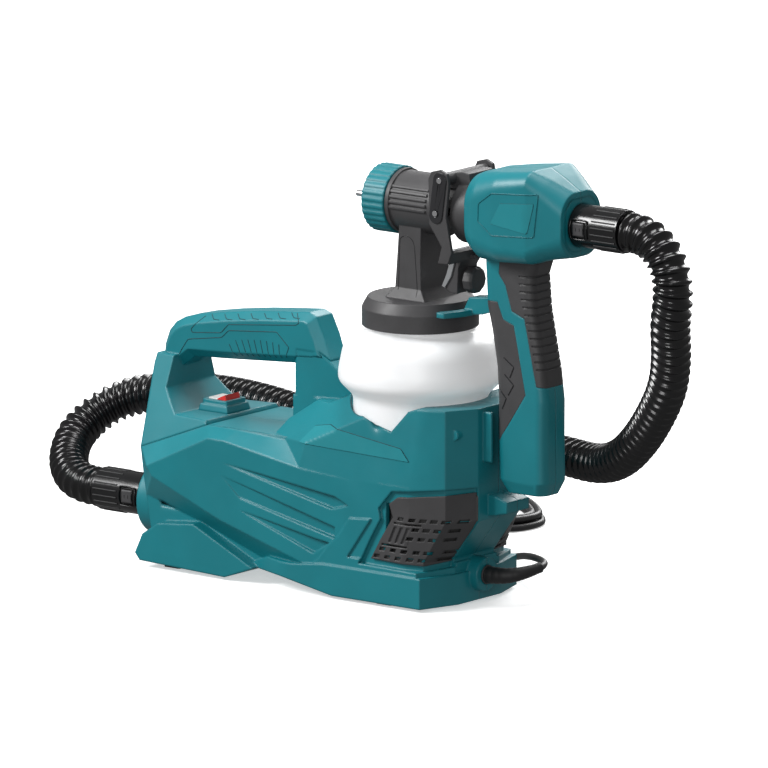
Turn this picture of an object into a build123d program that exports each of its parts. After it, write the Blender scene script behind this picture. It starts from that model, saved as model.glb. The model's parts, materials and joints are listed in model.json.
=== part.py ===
"""Turbine paint sprayer: a floor-standing air turbine with a cup gun parked in its cradle.

Millimetres, +Z up, floor at Z = 0, Y = 0 is the mid-plane of base and gun.
+X is the end where the gun handle hangs; the spray nozzle looks along -X.
"""
from build123d import *
from math import atan2, cos, pi, radians, sin, tan
import os

os.makedirs("parts", exist_ok=True)

# ---- driving dimensions -------------------------------------------------------------
FLOOR_GAP = 3.0            # height of the feet under the housing
WALL = 3.0                 # moulded wall of the base housing
CORE_HALF = 49.0           # half width of the middle of the base
SIDE_HALF = 63.0           # half width over the side panels
SKIRT_HALF = 66.0          # half width over the bottom skirt
DECK_Z = 128.0             # flat deck under the carry handle
GUN_Z = 332.0              # height of the spray axis
CUP_X = 55.5               # vertical axis of the paint cup
CUP_R = 68.8               # widest radius of the cup
CUP_LOW_R = 56.0           # radius of the cup's lower barrel
CUP_FLOOR_Z = 116.0        # underside of the cup
RECESS_R = 58.2            # cradle pocket that the cup stands in
NECK_R = 43.5              # cup neck under the lid
LID_R = 48.9               # screw lid
BARREL_R = 25.5            # spray-head barrel
INLET_R = 28.0             # spray-head air inlet behind the trigger
TRIGGER_PIVOT = (101.0, 360.0)
NEEDLE_PIN_X = 97.0
ARM_Y = 31.0               # middle plane of each trigger arm
KNOB_Z = 273.0             # paint-flow knob
MOTOR_Z = 64.0             # motor and turbine axis
SOCKET_Z = 47.0            # hose socket on the base
HOSE_R = 17.0              # over the corrugations
HOSE_BORE = 15.2
CUFF_R = 18.0
CORD_R = 3.0
SCREW_R = 1.8
SCREW_REACH = 14.0
RUNNING = 0.05             # radial clearance of a shaft in its hole
GAP = 0.5                  # free air between bodies that pass each other


# ---- small helpers ------------------------------------------------------------------
def outline(plane, points):
    """Straight-sided closed face on a plane."""
    with BuildSketch(plane) as face:
        with BuildLine():
            Polyline(*points, close=True)
        make_face()
    return face.sketch


def disc(plane, radius, centre=(0, 0)):
    """Round face on a plane."""
    with BuildSketch(plane) as face:
        with Locations(centre):
            Circle(radius)
    return face.sketch


def across_x(x):
    """Plane that looks along +X at x, sketch axes +Y and +Z."""
    return Plane(origin=(x, 0, 0), x_dir=(0, 1, 0), z_dir=(1, 0, 0))


def tube_path(points):
    """Straight runs joined by tangent arcs, each as large as its two runs allow."""
    runs = [Vector(*b) - Vector(*a) for a, b in zip(points, points[1:])]
    arcs = []
    for before, after in zip(runs, runs[1:]):
        half_turn = radians(before.get_angle(after)) / 2
        arcs.append(0.45 * min(before.length, after.length) / tan(half_turn))
    return arcs


def save(name, solid):
    """Label one finished piece and write its STEP file."""
    solid.part.label = name
    export_step(solid.part, f"parts/{name}.step")


# ---- base housing -------------------------------------------------------------------
# Side view (X, Z) of the middle block, from the toe round the top to the grille end.
CORE_SIDE = [(-190, 14), (-201, 78), (-204, 100), (-131, DECK_Z), (-40, DECK_Z),
             (70, 118), (70, 8), (-28, 8), (-92, 14)]
# The side panel grows from this outline at CORE_HALF ...
PANEL_ROOT = [(-203, 100), (-131, 127.5), (-100, 127.5), (-38, 125), (70, 118),
              (70, 8), (-34, 8), (-140, 44), (-198, 60)]
# ... to this one at SIDE_HALF, so every edge between them is a sloping facet.
PANEL_FACE = [(-187, 88), (-121, 119.5), (-104, 119.5), (-21, 106), (70, 101),
              (70, 26), (-18, 26), (-109, 52), (-181, 80)]
# Plan (X, Y) of the near half at the grille end, under and over the sloping waist.
END_LOW = [(60, 0), (60, -SIDE_HALF), (84, -SIDE_HALF), (103, -57), (112, -32), (112, 0)]
END_HIGH = [(60, 0), (60, -SIDE_HALF), (92, -SIDE_HALF), (122, -52), (138, -28), (138, 0)]
WAIST_LOW_Z = 41.0
WAIST_HIGH_Z = 76.0
END_TOP_Z = 171.0
# Side view of the cradle that holds the cup, with the V notch in its long walls.
CRADLE_SIDE = [(-68, 100), (-66, DECK_Z), (-60, 139), (-36, 156), (-16, 167), (6, 167),
               (70, 148), (87, 167), (95, 170), (138, END_TOP_Z), (138, 100)]
POST_SIDE = [(-66, 120), (-66, 196), (-40, 196), (-27, 184), (-8, 164), (-8, 120)]
SKIRT_PLAN = [(-90, 0), (-90, -CORE_HALF), (-42, -SKIRT_HALF), (106, -SKIRT_HALF),
              (118, -29), (118, 0)]
SKIRT_SIDE = [(-90, 14), (-42, 13), (13, FLOOR_GAP), (118, FLOOR_GAP), (118, 29), (4, 29),
              (-30, 25), (-60, 26)]
STEP_PLAN = [(20, 0), (20, -64.5), (101, -64.5), (115, -30), (115, 0)]
TOE_SIDE = [(-192, 29), (-200, 12), (-195, 6), (-104, FLOOR_GAP), (-74, 14), (-138, 44),
            (-176, 40)]
FRAME_FACE = [(30, 71), (42, 72), (53, 73), (24, 32), (64, 30), (64, 24), (-14, 24), (-2, 33),
              (8, 46), (18, 54)]
GRILLE_SIDE = [(52, 39.5), (62, 57), (75, 77), (71, 88), (80, 94.5), (122, 99), (141, 101),
               (141, 74), (116, 41), (103, 38)]
GRILLE_BAY = [(40, 34), (52, 57), (62, 74), (60, 83), (74, 99), (122, 104), (150, 105),
              (150, 72), (124, 36), (103, 33)]
BAY_DEPTH = 3.0            # how far the grille bay is sunk
COVER_EDGE_Y = 28.5        # the cover stops at the corner of the end wall
COVER_FACE = 0.6           # how far the cover's face stays below the side panel
VENT_ROWS = [(76.5, 83, 6), (68.5, 97, 4), (60.5, 91.5, 4), (49, 64, 6), (42.5, 58, 6)]
FILTER_WINDOW = [(66, 44), (66, 88), (100, 88), (100, 44)]
RIBS = [(-130, 44.0), (-97, 40.0), (-7, 30.0)]    # place along X and radius held
BASE_SCREWS = [(-192, 90), (-50, 116), (-14, 15), (126, 150), (108, 66)]
SWITCH_X = -153.0
SWITCH_Z = 130.5          # seat of the switch on the handle foot
# Wedge-shaped grooves in the side panel: outline (X, Z) and depth at the deep end.
GROOVES = [([(-106, 101), (14, 87), (28, 81), (10, 76)], 5.0),
           ([(-107, 90), (-87, 73), (14, 51), (14, 61)], 5.0),
           ([(-88, 63), (-9, 36), (8, 47), (-8, 49)], 4.5)]


def end_half():
    """Near half of the grille end: it leans in from the cradle to a narrow waist."""
    with BuildPart() as end:
        extrude(outline(Plane.XY.offset(8), END_LOW), amount=WAIST_LOW_Z - 8)
        loft([outline(Plane.XY.offset(WAIST_LOW_Z), END_LOW),
              outline(Plane.XY.offset(WAIST_HIGH_Z), END_HIGH)], ruled=True)
        extrude(outline(Plane.XY.offset(WAIST_HIGH_Z), END_HIGH), amount=104 - WAIST_HIGH_Z)
    return end.part


def cradle_half():
    """Near half of the cup cradle, trimmed to its sloping outer facets."""
    with BuildPart() as cradle:
        extrude(outline(Plane.XZ, CRADLE_SIDE), amount=SIDE_HALF)
        plan = [(-70, 0), (-70, -SIDE_HALF), (92, -SIDE_HALF), (122, -52), (138, -28), (138, 0)]
        extrude(outline(Plane.XY.offset(90), plan), amount=90, mode=Mode.INTERSECT)
        shoulder = Plane(origin=(-42, -57, 122), z_dir=(-742, -1663, 1753))
        split(bisect_by=shoulder, keep=Keep.BOTTOM)
        long_wall = Plane(origin=(0, -SIDE_HALF, 103), z_dir=(0, -47, 4.6))
        split(bisect_by=long_wall, keep=Keep.BOTTOM)
        foot = Plane(origin=(-66, -45, 112), z_dir=(-20, -50, 10))
        split(bisect_by=foot, keep=Keep.BOTTOM)
    return cradle.part


def outer_half():
    """Near half of the housing's outside, as one solid block."""
    with BuildPart() as body:
        extrude(outline(Plane.XZ, CORE_SIDE), amount=CORE_HALF)
        loft([outline(Plane.XZ.offset(CORE_HALF - 0.01), PANEL_ROOT),
              outline(Plane.XZ.offset(SIDE_HALF), PANEL_FACE)], ruled=True)
        add(end_half())
        add(cradle_half())
        # post under the front end of the carry handle
        extrude(outline(Plane.XZ, POST_SIDE), amount=17)
        add(post_trim(), mode=Mode.SUBTRACT)
    return body.part


def post_trim():
    """Waste beside the post, which tapers in plan towards the cup."""
    with BuildPart() as waste:
        with BuildSketch(Plane.XY.offset(157)):
            with BuildLine():
                Polyline((-70, -30), (-66, -14), (-62, -17), (-44, -17), (-2, -4), (4, -30),
                         close=True)
            make_face()
        extrude(amount=50)
    return waste.part


def skirt_half():
    """Near half of the skirt, the step above it and the toe."""
    with BuildPart() as skirt:
        extrude(outline(Plane.XY, SKIRT_PLAN), amount=29)
        extrude(outline(Plane.XZ, SKIRT_SIDE), amount=SKIRT_HALF, mode=Mode.INTERSECT)
        extrude(outline(Plane.XY.offset(20), STEP_PLAN), amount=18)
        toe_side = outline(Plane.XZ, TOE_SIDE)
        extrude(toe_side, amount=SIDE_HALF - 1)
    return skirt.part


def end_fittings():
    """Hose socket boss, cord boss, cord hook and handle ears, near half only."""
    with BuildPart() as fittings:
        with BuildSketch(across_x(-223.5)):
            with Locations((0, SOCKET_Z)):
                Circle(30.6)
        extrude(amount=36.5, taper=-4)
        with BuildSketch(across_x(110)):
            with Locations((0, 25)):
                Circle(15)
        extrude(amount=16, taper=3)
        # hook block that the handle's foot stands over
        hook = [(134, 78), (134, 97), (146, 96), (158, 92), (158, 83), (146, 80)]
        extrude(outline(Plane.XZ, hook), amount=15, both=True)
        # two ears that guide the gun handle
        for side in (-1, 1):
            ear = [(136, 22 * side), (147, 22 * side), (147, 19.5 * side), (136, 19.5 * side)]
            extrude(outline(Plane.XY.offset(126), ear), amount=42)
        keep = [(-240, 0), (-240, -80), (180, -80), (180, 0)]
        extrude(outline(Plane.XY, keep), amount=200, mode=Mode.INTERSECT)
    return fittings.part


def panel_details():
    """What is cut from the near side panel: wedge grooves and the grille bay."""
    with BuildPart() as cuts:
        for points, depth in GROOVES:
            left = min(x for x, z in points)
            right = max(x for x, z in points)
            lean = atan2(depth, right - left)
            face = Plane(origin=(left, -SIDE_HALF, 0), x_dir=(cos(lean), sin(lean), 0),
                         z_dir=(sin(lean), -cos(lean), 0))
            shape = outline(face, [(x - left, z) for x, z in points])
            extrude(shape, amount=12)
    return cuts.part


def end_inset(depth):
    """The grille end again, every outer face moved inwards by depth."""
    y = -(SIDE_HALF - depth)
    low = [(20, 0), (20, y), (84, y), (103 - 0.6 * depth, -57 + 0.8 * depth),
           (112 - depth, -32 + 0.4 * depth), (112 - depth, 0)]
    high = [(20, 0), (20, y), (92 - 0.4 * depth, y), (122 - 0.6 * depth, -52 + 0.8 * depth),
            (138 - depth, -28 + 0.4 * depth), (138 - depth, 0)]
    with BuildPart() as end:
        extrude(outline(Plane.XY.offset(10), low), amount=WAIST_LOW_Z - 10)
        loft([outline(Plane.XY.offset(WAIST_LOW_Z), low),
              outline(Plane.XY.offset(WAIST_HIGH_Z), high)], ruled=True)
        extrude(outline(Plane.XY.offset(WAIST_HIGH_Z), high), amount=60)
    return end.part


def bay_cut():
    """Shallow bay around the grille."""
    with BuildPart() as bay:
        extrude(outline(Plane.XZ.offset(COVER_EDGE_Y - 1), GRILLE_BAY), amount=60)
        add(end_inset(BAY_DEPTH), mode=Mode.SUBTRACT)
    return bay.part


def cavity_half():
    """Hollow inside of the near half: motor bay, filter bay and the space beside the handle."""
    core = [(-186, 18), (-196, 76), (-198, 97), (-130, DECK_Z - WALL), (-12, DECK_Z - WALL),
            (-12, 111), (70, 111), (70, 12), (-26, 12), (-90, 18)]
    root = [(-186, 40), (-196, 78), (-194, 96), (-130, 122), (-30, 118), (66, 109), (66, 14),
            (-30, 14), (-138, 48)]
    face = [(-172, 82), (-178, 86), (-178, 88), (-118, 114), (-24, 100), (66, 95), (66, 32),
            (-14, 32), (-106, 57)]
    low = [(60, 0), (60, -50), (80, -50), (98, -47), (106, -28), (106, 0)]
    high = [(60, 0), (60, -50), (88, -50), (114, -44), (130, -24), (130, 0)]
    with BuildPart() as hollow:
        extrude(outline(Plane.XZ, core), amount=CORE_HALF - WALL)
        loft([outline(Plane.XZ.offset(CORE_HALF - WALL - 0.01), root),
              outline(Plane.XZ.offset(SIDE_HALF - 8), face)], ruled=True)
        extrude(outline(Plane.XY.offset(12), low), amount=WAIST_LOW_Z - 12)
        loft([outline(Plane.XY.offset(WAIST_LOW_Z), low),
              outline(Plane.XY.offset(WAIST_HIGH_Z), high)], ruled=True)
        extrude(outline(Plane.XY.offset(WAIST_HIGH_Z), high), amount=111 - WAIST_HIGH_Z)
        # slim pocket behind the cup, inside the end wall
        pocket = [(118, 0), (118, -20), (134, -20), (134, 0)]
        extrude(outline(Plane.XY.offset(105), pocket), amount=60)
    return hollow.part


def ribs_half():
    """Ribs inside the near half that hold the turbine and the motor."""
    with BuildPart() as ribs:
        for x, hold_r in RIBS:
            plate = [(0, 14), (-(CORE_HALF - 2), 14), (-(CORE_HALF - 2), 111), (0, 111)]
            extrude(outline(across_x(x), plate), amount=3)
            extrude(disc(across_x(x - 1), hold_r, (0, MOTOR_Z)), amount=5, mode=Mode.SUBTRACT)
    return ribs.part


def underside_pockets():
    """Open pockets that keep the skirt and the toe thin-walled."""
    skirt = [(-20, -CORE_HALF - 2), (-20, -SKIRT_HALF + 3), (103, -SKIRT_HALF + 3),
             (106, -CORE_HALF - 2)]
    toe = [(-184, 24), (-188, 12), (-108, 8), (-86, 14), (-138, 38), (-172, 35)]
    with BuildPart() as pockets:
        extrude(outline(Plane.XY, skirt), amount=24)
        extrude(outline(Plane.XZ.offset(CORE_HALF + 1), toe), amount=SIDE_HALF - CORE_HALF - 5)
    return pockets.part


def switch_hole():
    """Cut-out that the switch body drops into."""
    with BuildPart() as hole:
        with Locations((SWITCH_X, 0, SWITCH_Z - 10)):
            Box(20.6, 20.6, 24)
    return hole.part


def housing_half():
    """Near half of the housing with its hollows, pocket and openings."""
    with BuildPart() as half:
        add(outside)
        add(skirt_half())
        frame_plane = Plane.XZ.offset(SIDE_HALF - 1)
        extrude(outline(frame_plane, FRAME_FACE), amount=2.5)
        add(panel_details(), mode=Mode.SUBTRACT)
        add(bay_cut(), mode=Mode.SUBTRACT)
        add(end_fittings())
        add(cavity_half(), mode=Mode.SUBTRACT)
        add(ribs_half())
        add(underside_pockets(), mode=Mode.SUBTRACT)
        with BuildSketch(Plane.XZ):
            with Locations(*BASE_SCREWS):
                Circle(4.5)
        extrude(amount=CORE_HALF - 3)
        with BuildSketch(Plane.XZ):
            with Locations(*BASE_SCREWS):
                Circle(SCREW_R)
        extrude(amount=SCREW_REACH, mode=Mode.SUBTRACT)
        extrude(outline(Plane.XZ.offset(45), FILTER_WINDOW), amount=30, mode=Mode.SUBTRACT)
        # pocket for the cup, open at the top
        with BuildSketch(Plane.XY.offset(CUP_FLOOR_Z - 0.6)):
            with Locations((CUP_X, 0)):
                Circle(RECESS_R)
        extrude(amount=80, mode=Mode.SUBTRACT)
        # hose socket bore, cord gland hole and the switch cut-out
        extrude(disc(across_x(-224), 18.2, (0, SOCKET_Z)), amount=40, mode=Mode.SUBTRACT)
        extrude(disc(across_x(100), 8.2, (0, 25)), amount=30, mode=Mode.SUBTRACT)
        add(switch_hole(), mode=Mode.SUBTRACT)
    return half.part


outside = outer_half()
half = housing_half()
with BuildPart() as housing_near:
    add(half)
with BuildPart() as housing_far:
    add(half)
    mirror(about=Plane.XZ, mode=Mode.REPLACE)
save("housing_near", housing_near)
save("housing_far", housing_far)


# ---- pieces fixed to the housing ----------------------------------------------------
BAR_SIDE = [(-209, 168), (-207.5, 182), (-203, 194), (-196, 202), (-186, 207.5), (-168, 212),
            (-140, 217), (-108, 221.5), (-75, 225), (-54, 227), (-46, 224), (-38, 208),
            (-31, 188), (-45, 184), (-141, 177), (-176, 175), (-188, 166)]
LEG_SIDE = [(-204, 100), (-209, 168), (-208, 176), (-188, 176), (-189, 150), (-180, 139),
            (-172, SWITCH_Z), (-135, SWITCH_Z), (-134, DECK_Z), (-131, 124)]
BAR_HALF = 17.5

with BuildPart() as carry_handle:
    extrude(outline(Plane.XZ, BAR_SIDE), amount=BAR_HALF, both=True)
    long_edges = carry_handle.faces().filter_by(Axis.Y).edges()
    chamfer(long_edges, length=7)
    with BuildPart(mode=Mode.PRIVATE) as leg:
        extrude(outline(Plane.XZ, LEG_SIDE), amount=CORE_HALF, both=True)
        for side in (-1, 1):
            slope = Plane(origin=(-200, 17 * side, 190), z_dir=(-896, 6520 * side, 2368))
            split(bisect_by=slope, keep=Keep.BOTTOM)
    add(leg.part)
    # hollow bar, closed at both ends
    inner = [(-196, 180), (-192, 190), (-180, 197), (-140, 205), (-98, 211), (-58, 215),
             (-50, 206), (-46, 194), (-141, 188), (-176, 185)]
    extrude(outline(Plane.XZ, inner), amount=9, both=True, mode=Mode.SUBTRACT)
    add(outside, mode=Mode.SUBTRACT)
    add(mirror(outside, about=Plane.XZ, mode=Mode.PRIVATE), mode=Mode.SUBTRACT)
    add(switch_hole(), mode=Mode.SUBTRACT)
save("carry_handle", carry_handle)

FOOT_PLACES = [(-172, 42), (-172, -42), (60, 50), (60, -50)]
with BuildPart() as feet:
    for x, y in FOOT_PLACES:
        with BuildSketch(Plane.XY):
            with Locations((x, y)):
                RectangleRounded(18, 12, 3)
        extrude(amount=FLOOR_GAP)
save("feet", feet)


def filter_cover():
    """Vented cover of the near filter bay, wrapped round the corner."""
    with BuildPart() as cover:
        add(end_inset(COVER_FACE))
        edge = Plane.XZ.offset(COVER_EDGE_Y)
        extrude(outline(edge, GRILLE_SIDE), amount=60, mode=Mode.INTERSECT)
        add(end_inset(BAY_DEPTH), mode=Mode.SUBTRACT)
        for z, start, count in VENT_ROWS:
            for k in range(count):
                x = start + 11 * k
                if x > 95:
                    x = 95 + 0.82 * (x - 95)
                vent = [(x - 3.6, z - 1.5), (x + 2.2, z - 1.5), (x + 3.6, z + 1.5), (x - 2.2, z + 1.5)]
                extrude(outline(Plane.XZ.offset(20), vent), amount=60, mode=Mode.SUBTRACT)
        for z, start in ((72.5, 76), (53, 63)):
            slot = [(start, z - 0.8), (start + 26, z - 0.8), (start + 26, z + 0.8), (start, z + 0.8)]
            extrude(outline(Plane.XZ.offset(20), slot), amount=60, mode=Mode.SUBTRACT)
        # sunk block with three slanted ribs
        for k in range(4):
            x = 70 + 6.5 * k
            groove = [(x, 55.5), (x + 3.2, 55.5), (x + 9.5, 69.5), (x + 6.3, 69.5)]
            extrude(outline(Plane.XZ.offset(SIDE_HALF - COVER_FACE - 1.2), groove), amount=4,
                    mode=Mode.SUBTRACT)
    return cover.part


cover = filter_cover()
with BuildPart() as filter_cover_near:
    add(cover)
with BuildPart() as filter_cover_far:
    add(cover)
    mirror(about=Plane.XZ, mode=Mode.REPLACE)
save("filter_cover_near", filter_cover_near)
save("filter_cover_far", filter_cover_far)

with BuildPart() as filter_foams:
    for side in (-1, 1):
        with Locations((83, side * 50, 66)):
            Box(33.6, 8, 43.6)
save("filter_foams", filter_foams)

with BuildPart() as housing_screws:
    with BuildSketch(Plane.XZ):
        with Locations(*BASE_SCREWS):
            Circle(SCREW_R)
    extrude(amount=SCREW_REACH, both=True)
save("housing_screws", housing_screws)

# ---- power switch -------------------------------------------------------------------
ROCKER_AXIS_Z = SWITCH_Z + 8.0
ROCKER_SIDE = [(-9.4, -2), (-9.2, 3), (0, 2.6), (8.2, 6.5), (9.4, 1), (3, -4), (-3, -4)]
with BuildPart() as switch_body:
    with BuildSketch(Plane.XY.offset(SWITCH_Z)):
        with Locations((SWITCH_X, 0)):
            Rectangle(31, 31)
    extrude(amount=6, taper=12)
    with BuildSketch(Plane.XY.offset(SWITCH_Z + 6)):
        with Locations((SWITCH_X, 0)):
            RectangleRounded(26, 26, 1.5)
    extrude(amount=4)
    with Locations((SWITCH_X, 0, SWITCH_Z - 6)):
        Box(20.6, 20.6, 12.2)
    with Locations((SWITCH_X, 0, SWITCH_Z + 3)):
        Box(20, 20, 16, mode=Mode.SUBTRACT)
    with BuildSketch(Plane.XZ):
        with Locations((SWITCH_X, ROCKER_AXIS_Z)):
            Circle(1 + RUNNING)
    extrude(amount=12, both=True, mode=Mode.SUBTRACT)
save("switch_body", switch_body)

with BuildPart() as rocker_pin:
    with BuildSketch(Plane.XZ):
        with Locations((SWITCH_X, ROCKER_AXIS_Z)):
            Circle(1)
    extrude(amount=11.8, both=True)
save("rocker_pin", rocker_pin)

with BuildPart() as rocker:
    rocker_face = [(SWITCH_X + x, ROCKER_AXIS_Z + z) for x, z in ROCKER_SIDE]
    extrude(outline(Plane.XZ, rocker_face), amount=9.4, both=True)
    add(rocker_pin.part, mode=Mode.SUBTRACT)
with BuildPart() as rocker_white:
    add(rocker.part)
    split(bisect_by=Plane.YZ.offset(SWITCH_X), keep=Keep.BOTTOM)
with BuildPart() as rocker_red:
    add(rocker.part)
    split(bisect_by=Plane.YZ.offset(SWITCH_X), keep=Keep.TOP)
save("rocker_white", rocker_white)
save("rocker_red", rocker_red)

# ---- turbine and motor --------------------------------------------------------------
with BuildPart() as turbine_housing:
    extrude(disc(across_x(-152), 44 - RUNNING, (0, MOTOR_Z)), amount=48)
    extrude(disc(across_x(-149), 41, (0, MOTOR_Z)), amount=42, mode=Mode.SUBTRACT)
    extrude(disc(across_x(-110), 20, (0, MOTOR_Z)), amount=10, mode=Mode.SUBTRACT)
    extrude(disc(across_x(-154), 15, (0, SOCKET_Z)), amount=6, mode=Mode.SUBTRACT)
save("turbine_housing", turbine_housing)

with BuildPart() as outlet_duct:
    extrude(disc(across_x(-190), 18, (0, SOCKET_Z)), amount=38)
    extrude(disc(across_x(-191), 15, (0, SOCKET_Z)), amount=40, mode=Mode.SUBTRACT)
save("outlet_duct", outlet_duct)

with BuildPart() as motor_frame:
    for x, radius in ((-97, 40), (-7, 30)):
        extrude(disc(across_x(x), radius - RUNNING, (0, MOTOR_Z)), amount=4)
        extrude(disc(across_x(x - 1), 11, (0, MOTOR_Z)), amount=6, mode=Mode.SUBTRACT)
    for y, z in ((0, 27), (0, -27)):
        extrude(disc(across_x(-93), 2.5, (y, MOTOR_Z + z)), amount=86)
save("motor_frame", motor_frame)

with BuildPart() as motor_bearings:
    for x in (-97, -7):
        extrude(disc(across_x(x), 11, (0, MOTOR_Z)), amount=4)
        extrude(disc(across_x(x - 1), 4 + RUNNING, (0, MOTOR_Z)), amount=6, mode=Mode.SUBTRACT)
save("motor_bearings", motor_bearings)

with BuildPart() as motor_stator:
    extrude(disc(across_x(-76), 36, (0, MOTOR_Z)), amount=42)
    extrude(disc(across_x(-77), 21, (0, MOTOR_Z)), amount=44, mode=Mode.SUBTRACT)
    for z in (27, -27):
        extrude(disc(across_x(-77), 2.5, (0, MOTOR_Z + z)), amount=44, mode=Mode.SUBTRACT)
save("motor_stator", motor_stator)

with BuildPart() as carbon_brushes:
    for side in (-1, 1):
        with Locations((-20, side * 17, MOTOR_Z)):
            Box(8, 12, 6)
save("carbon_brushes", carbon_brushes)

with BuildPart() as rotor_shaft:
    extrude(disc(across_x(-147), 4, (0, MOTOR_Z)), amount=150)
save("rotor_shaft", rotor_shaft)

with BuildPart() as armature:
    extrude(disc(across_x(-74), 20, (0, MOTOR_Z)), amount=38)
    extrude(disc(across_x(-27), 10, (0, MOTOR_Z)), amount=14)
    extrude(disc(across_x(-36), 8, (0, MOTOR_Z)), amount=9)
    extrude(disc(across_x(-80), 4, (0, MOTOR_Z)), amount=80, mode=Mode.SUBTRACT)
save("armature", armature)


def impeller(x):
    """One turbine stage: back plate, hub and curved-back vanes."""
    with BuildPart() as wheel:
        extrude(disc(across_x(x), 38, (0, MOTOR_Z)), amount=2)
        extrude(disc(across_x(x + 2), 9, (0, MOTOR_Z)), amount=9)
        for k in range(8):
            turn = 2 * pi * k / 8
            inner = (9 * cos(turn), MOTOR_Z + 9 * sin(turn))
            outer = (37 * cos(turn + 0.5), MOTOR_Z + 37 * sin(turn + 0.5))
            side = turn + 0.04
            inner_b = (8.8 * cos(side + 0.15), MOTOR_Z + 8.8 * sin(side + 0.15))
            outer_b = (37 * cos(side + 0.5), MOTOR_Z + 37 * sin(side + 0.5))
            extrude(outline(across_x(x + 2), [inner, outer, outer_b, inner_b]), amount=9)
        extrude(disc(across_x(x - 1), 4, (0, MOTOR_Z)), amount=14, mode=Mode.SUBTRACT)
    return wheel.part


with BuildPart() as impellers:
    add(impeller(-145))
    add(impeller(-126))
save("impellers", impellers)

# ---- paint cup ----------------------------------------------------------------------
CUP_OUTSIDE = [(0, CUP_FLOOR_Z), (50, CUP_FLOOR_Z), (CUP_LOW_R, 122), (CUP_LOW_R, 170),
               (CUP_R, 182.5), (CUP_R, 191), (64.5, 211), (58, 219), (47, 223), (NECK_R, 226),
               (NECK_R, 246)]
CUP_INSIDE = [(NECK_R - 2.5, 246), (NECK_R - 2.5, 224.5), (46, 221), (56.5, 217), (62.5, 210),
              (CUP_R - 2, 190.5), (CUP_R - 2, 183.5), (CUP_LOW_R - 2, 171), (CUP_LOW_R - 2, 123),
              (49, 118), (0, 118)]

with BuildPart() as cup:
    with BuildSketch(Plane.XZ) as wall:
        with BuildLine():
            Polyline(*CUP_OUTSIDE, *CUP_INSIDE, close=True)
        make_face()
    revolve(axis=Axis.Z)
with BuildPart() as cup_placed:
    with Locations((CUP_X, 0, 0)):
        add(cup.part)
save("cup", cup_placed)

# ---- spray head ---------------------------------------------------------------------
LID_LOW_Z = 229.0
LID_EDGE_Z = 244.0
LID_TOP_Z = 253.0


def lofted_box(levels):
    """Ruled block through rectangles given as (z, x low, x high, half width)."""
    with BuildPart() as block:
        loft([outline(Plane.XY.offset(z), [(a, -w), (b, -w), (b, w), (a, w)])
              for z, a, b, w in levels], ruled=True)
    return block.part


with BuildPart() as spray_head:
    # screw lid
    with BuildSketch(Plane.XZ):
        with BuildLine():
            Polyline((0, LID_LOW_Z), (LID_R, LID_LOW_Z), (LID_R, LID_EDGE_Z), (47.5, 247),
                     (44, LID_TOP_Z), (0, LID_TOP_Z), close=True)
        make_face()
    revolve(axis=Axis.Z)
with BuildPart() as spray_head_body:
    with Locations((CUP_X, 0, 0)):
        add(spray_head.part)
    with BuildSketch(Plane.XY.offset(LID_LOW_Z)):
        with Locations((CUP_X, 0)):
            Circle(NECK_R + GAP)
    extrude(amount=19, mode=Mode.SUBTRACT)
    # neck column
    add(lofted_box([(LID_TOP_Z - 1, 36, 79, 24), (262, 44, 71, 19.5), (285, 45.5, 70, 19),
                    (GUN_Z - 10, 47.5, 70, 18)]))
    # barrel with five ribs on each side, rear neck, air inlet
    extrude(disc(across_x(38), 27, (0, GUN_Z)), amount=4)
    extrude(disc(across_x(42), BARREL_R, (0, GUN_Z)), amount=44)
    extrude(disc(across_x(86), 22, (0, GUN_Z)), amount=22)
    extrude(disc(across_x(108), INLET_R, (0, GUN_Z)), amount=28)
    with BuildSketch(across_x(42.5)):
        for start in (-4, 144):
            with Locations((0, GUN_Z)):
                with PolarLocations(BARREL_R, 5, start_angle=start, angular_range=50):
                    Rectangle(2.6, 2.4)
    extrude(amount=38)
    # fairing over the neck and its pivot bosses
    fairing = [(76, 350), (78, 356.5), (92, 362.5), (112, 366), (119, 365), (121, 352)]
    extrude(outline(Plane.XZ, fairing), amount=16, both=True)
    with BuildSketch(Plane.XZ):
        with Locations(TRIGGER_PIVOT):
            Circle(5.5)
    extrude(amount=28.5, both=True)
    # bores: air, needle gallery, needle hole, paint way and both cross holes
    extrude(disc(across_x(94), 14, (0, GUN_Z)), amount=50, mode=Mode.SUBTRACT)
    extrude(disc(across_x(30), 8, (0, GUN_Z)), amount=56, mode=Mode.SUBTRACT)
    extrude(disc(across_x(80), 1.5 + RUNNING, (0, GUN_Z)), amount=20, mode=Mode.SUBTRACT)
    with BuildSketch(Plane.XY.offset(240)):
        with Locations((CUP_X, 0)):
            Circle(4)
    extrude(amount=GUN_Z - 240, mode=Mode.SUBTRACT)
    with BuildSketch(Plane.XZ):
        with Locations(TRIGGER_PIVOT):
            Circle(2.5 + RUNNING)
    extrude(amount=40, both=True, mode=Mode.SUBTRACT)
    with Locations((NEEDLE_PIN_X + 2, 0, GUN_Z)):
        Box(12, 70, 6.4, mode=Mode.SUBTRACT)
save("spray_head", spray_head_body)

with BuildPart() as lid_gasket:
    with BuildSketch(Plane.XY.offset(246.4)):
        with Locations((CUP_X, 0)):
            Circle(NECK_R)
            Circle(36, mode=Mode.SUBTRACT)
    extrude(amount=1.6)
save("lid_gasket", lid_gasket)

with BuildPart() as pickup_tube:
    with BuildSketch(Plane.XY.offset(120)):
        with Locations((CUP_X, 0)):
            Circle(4)
            Circle(2.6, mode=Mode.SUBTRACT)
    extrude(amount=150)
save("pickup_tube", pickup_tube)

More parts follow.
